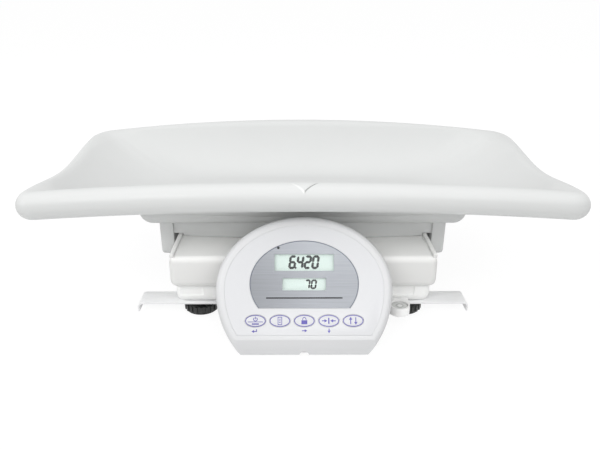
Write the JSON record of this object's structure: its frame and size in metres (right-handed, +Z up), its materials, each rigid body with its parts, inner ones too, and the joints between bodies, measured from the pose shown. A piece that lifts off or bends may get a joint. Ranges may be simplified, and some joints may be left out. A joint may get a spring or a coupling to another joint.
{
  "type": "digital baby weighing scale",
  "caption": "Baby scale: a long cradle tray with rolled rims lifts off a weighing platform on levelling feet, with a tilted round-topped display and oval keys in front.",
  "frame": {"origin": "on the table under the middle of the whole scale", "axes": "+Z up, +X to the right of someone who faces the display, -Y towards that person"},
  "size_m": [0.6, 0.356, 0.172],
  "materials": {
    "tray_plastic": "smooth white moulding, satin gloss",
    "carrier_plastic": "light grey-white moulding, fine satin",
    "cover_plastic": "white moulding, fine satin",
    "chassis_plastic": "off-white moulding, fine satin",
    "bracket_metal": "white powder coat",
    "level_plastic": "white moulding",
    "vial": "clear dome over liquid with a bubble",
    "foot_plastic": "black knurled moulding",
    "rubber": "soft black rubber",
    "screw_steel": "zinc-plated steel",
    "frame_steel": "pressed zinc-plated steel",
    "cell_aluminium": "machined aluminium",
    "circuit_board": "green circuit board",
    "black_plastic": "black moulding",
    "battery_sleeve": "printed metal sleeve",
    "door_plastic": "off-white moulding",
    "display_plastic": "white moulding, satin gloss",
    "keypad_film": "white printed film with thin blue-violet rings",
    "key_film": "white oval cap with blue-violet symbols",
    "silver_film": "brushed silver film",
    "window": "clear acrylic",
    "lcd": "pale green display glass",
    "led": "small dark lens"
  },
  "bodies": {
    "base": {"chassis": "chassis_plastic", "load_cell": "cell_aluminium", "cell_spacer": "frame_steel", "measuring_board": "circuit_board", "power_socket": "black_plastic", "battery_holder": "black_plastic", "side_bracket_left": "bracket_metal", "side_bracket_right": "bracket_metal", "level_holder": "level_plastic", "level_vial": "vial", "display_front_shell": "display_plastic", "display_rear_shell": "display_plastic", "shell_screw_left": "screw_steel", "shell_screw_right": "screw_steel", "keypad_overlay": "keypad_film", "silver_panel": "silver_film", "display_window": "window", "lcd_upper": "lcd", "lcd_lower": "lcd", "indicator_led": "led", "display_board": "circuit_board", "display_bracket": "bracket_metal", "cell_bolt_1": "screw_steel", "cell_bolt_2": "screw_steel", "battery_1": "battery_sleeve", "battery_2": "battery_sleeve", "battery_3": "battery_sleeve", "battery_4": "battery_sleeve"},
    "platform": {"platform_cover": "cover_plastic", "load_frame": "frame_steel", "frame_bolt_1": "screw_steel", "frame_bolt_2": "screw_steel", "cover_buffer_front_left": "rubber", "cover_buffer_front_right": "rubber", "cover_buffer_rear_right": "rubber", "cover_buffer_rear_left": "rubber"},
    "tray": {"tray": "tray_plastic", "tray_carrier": "carrier_plastic", "tray_screw_front_left": "screw_steel", "tray_screw_front_right": "screw_steel", "tray_screw_rear_right": "screw_steel", "tray_screw_rear_left": "screw_steel", "carrier_pad_front_left": "rubber", "carrier_pad_front_right": "rubber", "carrier_pad_rear_right": "rubber", "carrier_pad_rear_left": "rubber"},
    "battery_door": {"battery_door": "door_plastic"},
    "key_1": {"key_1": "key_film"},
    "key_2": {"key_2": "key_film"},
    "key_3": {"key_3": "key_film"},
    "key_4": {"key_4": "key_film"},
    "key_5": {"key_5": "key_film"},
    "sole_front_left": {"foot_sole_front_left": "rubber"},
    "wheel_front_left": {"foot_wheel_front_left": "foot_plastic"},
    "sole_front_right": {"foot_sole_front_right": "rubber"},
    "wheel_front_right": {"foot_wheel_front_right": "foot_plastic"},
    "sole_rear_right": {"foot_sole_rear_right": "rubber"},
    "wheel_rear_right": {"foot_wheel_rear_right": "foot_plastic"},
    "sole_rear_left": {"foot_sole_rear_left": "rubber"},
    "wheel_rear_left": {"foot_wheel_rear_left": "foot_plastic"}
  },
  "joints": [
    {"name": "platform_press", "type": "slide", "parent": "base", "child": "platform", "axis": [0, 0, 1], "range_m": [-0.0008, 0], "stiffness_N_per_m": 250000, "springref_m": 0.00015},
    {"name": "tray_lift_off", "type": "slide", "parent": "platform", "child": "tray", "axis": [0, 0, 1], "range_m": [0, 0.06]},
    {"name": "battery_door_slide", "type": "slide", "parent": "base", "child": "battery_door", "axis": [0, 1, 0], "range_m": [0, 0.07]},
    {"name": "key_1_press", "type": "slide", "parent": "base", "child": "key_1", "axis": [0, 0.866, -0.5], "range_m": [0, 0.0005], "stiffness_N_per_m": 5000, "springref_m": -0.0001},
    {"name": "key_2_press", "type": "slide", "parent": "base", "child": "key_2", "axis": [0, 0.866, -0.5], "range_m": [0, 0.0005], "stiffness_N_per_m": 5000, "springref_m": -0.0001},
    {"name": "key_3_press", "type": "slide", "parent": "base", "child": "key_3", "axis": [0, 0.866, -0.5], "range_m": [0, 0.0005], "stiffness_N_per_m": 5000, "springref_m": -0.0001},
    {"name": "key_4_press", "type": "slide", "parent": "base", "child": "key_4", "axis": [0, 0.866, -0.5], "range_m": [0, 0.0005], "stiffness_N_per_m": 5000, "springref_m": -0.0001},
    {"name": "key_5_press", "type": "slide", "parent": "base", "child": "key_5", "axis": [0, 0.866, -0.5], "range_m": [0, 0.0005], "stiffness_N_per_m": 5000, "springref_m": -0.0001},
    {"name": "sole_front_left_rise", "type": "slide", "parent": "base", "child": "sole_front_left", "axis": [0, 0, 1], "range_m": [-0.006, 0.003]},
    {"name": "wheel_front_left_turn", "type": "hinge", "parent": "sole_front_left", "child": "wheel_front_left", "pos_m": [-0.118, -0.074, 0.006], "axis": [0, 0, 1], "range_deg": [-1728, 864]},
    {"name": "sole_front_right_rise", "type": "slide", "parent": "base", "child": "sole_front_right", "axis": [0, 0, 1], "range_m": [-0.006, 0.003]},
    {"name": "wheel_front_right_turn", "type": "hinge", "parent": "sole_front_right", "child": "wheel_front_right", "pos_m": [0.118, -0.074, 0.006], "axis": [0, 0, 1], "range_deg": [-1728, 864]},
    {"name": "sole_rear_right_rise", "type": "slide", "parent": "base", "child": "sole_rear_right", "axis": [0, 0, 1], "range_m": [-0.006, 0.003]},
    {"name": "wheel_rear_right_turn", "type": "hinge", "parent": "sole_rear_right", "child": "wheel_rear_right", "pos_m": [0.118, 0.106, 0.006], "axis": [0, 0, 1], "range_deg": [-1728, 864]},
    {"name": "sole_rear_left_rise", "type": "slide", "parent": "base", "child": "sole_rear_left", "axis": [0, 0, 1], "range_m": [-0.006, 0.003]},
    {"name": "wheel_rear_left_turn", "type": "hinge", "parent": "sole_rear_left", "child": "wheel_rear_left", "pos_m": [-0.118, 0.106, 0.006], "axis": [0, 0, 1], "range_deg": [-1728, 864]}
  ],
  "couplings": [
    {"joint": "sole_front_left_rise", "follows": "wheel_front_left_turn", "m_per_rad": 0.00019894},
    {"joint": "sole_front_right_rise", "follows": "wheel_front_right_turn", "m_per_rad": 0.00019894},
    {"joint": "sole_rear_right_rise", "follows": "wheel_rear_right_turn", "m_per_rad": 0.00019894},
    {"joint": "sole_rear_left_rise", "follows": "wheel_rear_left_turn", "m_per_rad": 0.00019894}
  ]
}
